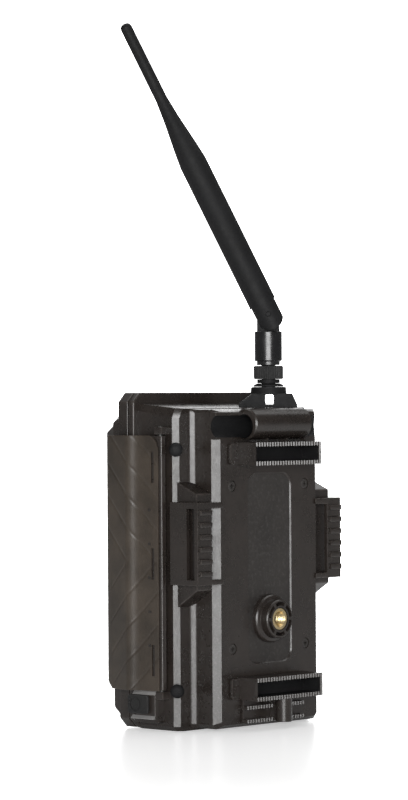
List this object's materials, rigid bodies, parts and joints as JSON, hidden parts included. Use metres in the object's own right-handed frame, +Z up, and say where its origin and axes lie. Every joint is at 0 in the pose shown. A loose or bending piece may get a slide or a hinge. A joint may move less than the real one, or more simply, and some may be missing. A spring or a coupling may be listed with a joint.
{
  "type": "trail camera",
  "caption": "Weatherproof wildlife trail camera with a hinged front half, side latch, strap loops, toothed tree brackets, tripod socket and tilting whip antenna.",
  "frame": {"origin": "middle of the flat underside of the housing, on the surface that it stands on", "axes": "+Z up, the lens looks along -Y, the back with the tripod socket faces +Y, +X is to the right of a person who faces the lens"},
  "size_m": [0.1095, 0.0767, 0.3183],
  "materials": {
    "housing_plastic": "fine moulded texture",
    "bronze_plastic": "satin, slightly metallic brown",
    "black_plastic": "satin",
    "black_rubber": "matt",
    "brass": "machined",
    "steel": "plain",
    "clear_glass": "clear",
    "dark_window": "polished, dark",
    "lens_plastic": "milky",
    "circuit_board": "solder mask",
    "cell_sleeve": "printed sleeve, plain",
    "memory_card": "matt"
  },
  "bodies": {
    "housing": {"rear_housing": "housing_plastic", "housing_gasket": "black_rubber", "door_hinge_pin": "steel", "latch_pin": "steel", "battery_tray": "black_plastic", "battery_1": "cell_sleeve", "battery_2": "cell_sleeve", "battery_3": "cell_sleeve", "battery_4": "cell_sleeve", "battery_5": "cell_sleeve", "battery_6": "cell_sleeve", "battery_7": "cell_sleeve", "battery_8": "cell_sleeve", "battery_contacts_lower": "steel", "battery_contacts_middle": "steel", "battery_contacts_upper": "steel", "modem_board": "circuit_board", "tripod_insert": "brass", "back_screw_1": "black_plastic", "back_screw_2": "black_plastic", "back_screw_3": "black_plastic", "back_screw_4": "black_plastic", "side_screw_lower": "black_plastic", "side_screw_upper": "black_plastic", "tree_bracket_upper": "housing_plastic", "tree_bracket_lower": "housing_plastic", "strap_loop_left": "housing_plastic", "strap_loop_right": "housing_plastic", "antenna_jack": "brass", "antenna_washer": "black_plastic", "power_jack": "black_plastic"},
    "door": {"front_housing": "housing_plastic", "lens_bezel": "black_plastic", "lens_window": "clear_glass", "lens_module": "black_plastic", "image_sensor_board": "circuit_board", "ir_led_window": "dark_window", "ir_led_board": "circuit_board", "pir_lens": "lens_plastic", "pir_sensor": "steel", "status_window": "dark_window", "main_board": "circuit_board", "lcd_screen": "dark_window", "inner_cover": "housing_plastic", "sd_card_socket": "steel"},
    "latch": {"latch_frame": "housing_plastic", "latch_grip_panel": "bronze_plastic"},
    "port_cover": {"power_port_cover": "black_rubber"},
    "button_menu": {"button_menu": "black_rubber"},
    "button_up": {"button_up": "black_rubber"},
    "button_down": {"button_down": "black_rubber"},
    "button_ok": {"button_ok": "black_rubber"},
    "mode_switch": {"mode_switch": "bronze_plastic"},
    "sd_card": {"sd_card": "memory_card"},
    "sim_card": {"sim_card": "memory_card"},
    "antenna_nut": {"antenna_nut": "black_plastic"},
    "antenna_base": {"antenna_barrel": "black_plastic", "antenna_tilt_pin": "black_plastic"},
    "antenna_whip": {"antenna_whip": "black_plastic"}
  },
  "joints": [
    {"name": "door_hinge", "type": "hinge", "parent": "housing", "child": "door", "pos_m": [-0.0516, -0.0116, 0.075], "axis": [0, 0, -1], "range_deg": [0, 110]},
    {"name": "latch_hinge", "type": "hinge", "parent": "housing", "child": "latch", "pos_m": [0.0482, 0.0086, 0.075], "axis": [0, 0, 1], "range_deg": [0, 95]},
    {"name": "port_cover_hinge", "type": "hinge", "parent": "housing", "child": "port_cover", "pos_m": [0.0514, 0.003, 0.01175], "axis": [0, 0, 1], "range_deg": [0, 100]},
    {"name": "menu_press", "type": "slide", "parent": "door", "child": "button_menu", "axis": [0, -1, 0], "range_m": [0, 0.001], "stiffness_N_per_m": 300},
    {"name": "up_press", "type": "slide", "parent": "door", "child": "button_up", "axis": [0, -1, 0], "range_m": [0, 0.001], "stiffness_N_per_m": 300},
    {"name": "down_press", "type": "slide", "parent": "door", "child": "button_down", "axis": [0, -1, 0], "range_m": [0, 0.001], "stiffness_N_per_m": 300},
    {"name": "ok_press", "type": "slide", "parent": "door", "child": "button_ok", "axis": [0, -1, 0], "range_m": [0, 0.001], "stiffness_N_per_m": 300},
    {"name": "mode_switch_slide", "type": "slide", "parent": "door", "child": "mode_switch", "axis": [1, 0, 0], "range_m": [0, 0.0084]},
    {"name": "sd_card_slide", "type": "slide", "parent": "door", "child": "sd_card", "axis": [0, 0, -1], "range_m": [0, 0.008]},
    {"name": "sim_card_slide", "type": "slide", "parent": "housing", "child": "sim_card", "axis": [1, 0, 0], "range_m": [0, 0.006]},
    {"name": "antenna_nut_spin", "type": "hinge", "parent": "housing", "child": "antenna_nut", "pos_m": [-0.017, 0.0145, 0.1588], "axis": [0, 0, 1], "continuous": true},
    {"name": "antenna_swivel", "type": "hinge", "parent": "housing", "child": "antenna_base", "pos_m": [-0.017, 0.0145, 0.1708], "axis": [0, 0, 1], "continuous": true},
    {"name": "antenna_tilt", "type": "hinge", "parent": "antenna_base", "child": "antenna_whip", "pos_m": [-0.017, 0.0145, 0.1853], "axis": [0.7312, 0.6822, 0], "range_deg": [-26, 64]}
  ]
}
